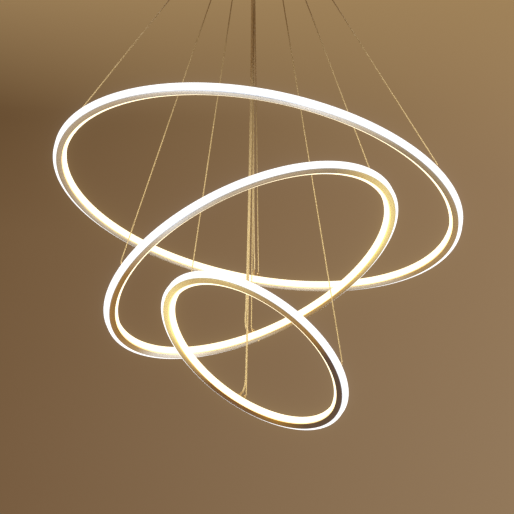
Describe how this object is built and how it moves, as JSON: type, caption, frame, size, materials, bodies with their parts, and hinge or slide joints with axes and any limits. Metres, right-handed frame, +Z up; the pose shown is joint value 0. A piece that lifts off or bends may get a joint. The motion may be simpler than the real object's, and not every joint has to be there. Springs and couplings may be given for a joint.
{
  "type": "ring chandelier",
  "caption": "Ceiling chandelier of tilted circular light rings, lit on their outer and inner sides, hung on steel wires and cords from a round canopy.",
  "frame": {"origin": "centre of the ceiling plane, on the strap's top face", "axes": "+Z up into the ceiling, +Y away from the viewer of the picture, +X to the viewer's right"},
  "size_m": [0.7894, 0.798, 1.144],
  "materials": {
    "rail_metal": "satin anodised, pale champagne",
    "outer_opal": "opal silicone, lit cool white",
    "inner_opal": "opal silicone, lit warm white",
    "led_strip": "white flexible circuit with a yellow phosphor line",
    "wire_steel": "bright stranded steel",
    "knob_metal": "satin nickel",
    "gland_plastic": "white moulded",
    "cord_sheath": "clear sheath over tinned copper",
    "canopy_paint": "satin off-white powder coat",
    "strap_steel": "zinc plated",
    "gripper_metal": "nickel plated",
    "driver_case": "white moulded",
    "terminal_nylon": "natural nylon"
  },
  "bodies": {
    "root": {"canopy": "canopy_paint", "ceiling_strap": "strap_steel", "side_screws": "gripper_metal", "grippers": "gripper_metal", "cord_grips": "gland_plastic", "gripper_nuts": "gripper_metal", "cord_grip_nuts": "gland_plastic", "terminal_block": "terminal_nylon", "large_driver": "driver_case", "middle_driver": "driver_case", "small_driver": "driver_case", "large_wire_left": "wire_steel", "large_wire_right": "wire_steel", "large_wire_far": "wire_steel", "large_power_cord": "cord_sheath", "middle_wire_left": "wire_steel", "middle_wire_right": "wire_steel", "middle_wire_far": "wire_steel", "middle_power_cord": "cord_sheath", "small_wire_left": "wire_steel", "small_wire_right": "wire_steel", "small_wire_far": "wire_steel", "small_power_cord": "cord_sheath"},
    "large_ring": {"large_rail": "rail_metal", "large_outer_led_strip": "led_strip", "large_inner_led_strip": "led_strip", "large_outer_diffuser": "outer_opal", "large_inner_diffuser": "inner_opal", "large_wire_anchors": "knob_metal", "large_cord_gland": "gland_plastic"},
    "middle_ring": {"middle_rail": "rail_metal", "middle_outer_led_strip": "led_strip", "middle_inner_led_strip": "led_strip", "middle_outer_diffuser": "outer_opal", "middle_inner_diffuser": "inner_opal", "middle_wire_anchors": "knob_metal", "middle_cord_gland": "gland_plastic"},
    "small_ring": {"small_rail": "rail_metal", "small_outer_led_strip": "led_strip", "small_inner_led_strip": "led_strip", "small_outer_diffuser": "outer_opal", "small_inner_diffuser": "inner_opal", "small_wire_anchors": "knob_metal", "small_cord_gland": "gland_plastic"},
    "release_large_left": {"release_sleeve_large_left": "gripper_metal"},
    "release_large_right": {"release_sleeve_large_right": "gripper_metal"},
    "release_large_far": {"release_sleeve_large_far": "gripper_metal"},
    "release_middle_left": {"release_sleeve_middle_left": "gripper_metal"},
    "release_middle_right": {"release_sleeve_middle_right": "gripper_metal"},
    "release_middle_far": {"release_sleeve_middle_far": "gripper_metal"},
    "release_small_left": {"release_sleeve_small_left": "gripper_metal"},
    "release_small_right": {"release_sleeve_small_right": "gripper_metal"},
    "release_small_far": {"release_sleeve_small_far": "gripper_metal"}
  },
  "joints": [
    {"name": "large_ring_height", "type": "slide", "parent": "root", "child": "large_ring", "axis": [0, 0, 1], "range_m": [0, 0.15], "deforming": ["large_wire_left", "large_wire_right", "large_wire_far", "large_power_cord"]},
    {"name": "middle_ring_height", "type": "slide", "parent": "root", "child": "middle_ring", "axis": [0, 0, 1], "range_m": [0, 0.15], "deforming": ["middle_wire_left", "middle_wire_right", "middle_wire_far", "middle_power_cord"]},
    {"name": "small_ring_height", "type": "slide", "parent": "root", "child": "small_ring", "axis": [0, 0, 1], "range_m": [0, 0.15], "deforming": ["small_wire_left", "small_wire_right", "small_wire_far", "small_power_cord"]},
    {"name": "release_large_left_press", "type": "slide", "parent": "root", "child": "release_large_left", "axis": [0, 0, 1], "range_m": [0, 0.002], "stiffness_N_per_m": 400, "springref_m": -0.003},
    {"name": "release_large_right_press", "type": "slide", "parent": "root", "child": "release_large_right", "axis": [0, 0, 1], "range_m": [0, 0.002], "stiffness_N_per_m": 400, "springref_m": -0.003},
    {"name": "release_large_far_press", "type": "slide", "parent": "root", "child": "release_large_far", "axis": [0, 0, 1], "range_m": [0, 0.002], "stiffness_N_per_m": 400, "springref_m": -0.003},
    {"name": "release_middle_left_press", "type": "slide", "parent": "root", "child": "release_middle_left", "axis": [0, 0, 1], "range_m": [0, 0.002], "stiffness_N_per_m": 400, "springref_m": -0.003},
    {"name": "release_middle_right_press", "type": "slide", "parent": "root", "child": "release_middle_right", "axis": [0, 0, 1], "range_m": [0, 0.002], "stiffness_N_per_m": 400, "springref_m": -0.003},
    {"name": "release_middle_far_press", "type": "slide", "parent": "root", "child": "release_middle_far", "axis": [0, 0, 1], "range_m": [0, 0.002], "stiffness_N_per_m": 400, "springref_m": -0.003},
    {"name": "release_small_left_press", "type": "slide", "parent": "root", "child": "release_small_left", "axis": [0, 0, 1], "range_m": [0, 0.002], "stiffness_N_per_m": 400, "springref_m": -0.003},
    {"name": "release_small_right_press", "type": "slide", "parent": "root", "child": "release_small_right", "axis": [0, 0, 1], "range_m": [0, 0.002], "stiffness_N_per_m": 400, "springref_m": -0.003},
    {"name": "release_small_far_press", "type": "slide", "parent": "root", "child": "release_small_far", "axis": [0, 0, 1], "range_m": [0, 0.002], "stiffness_N_per_m": 400, "springref_m": -0.003}
  ]
}
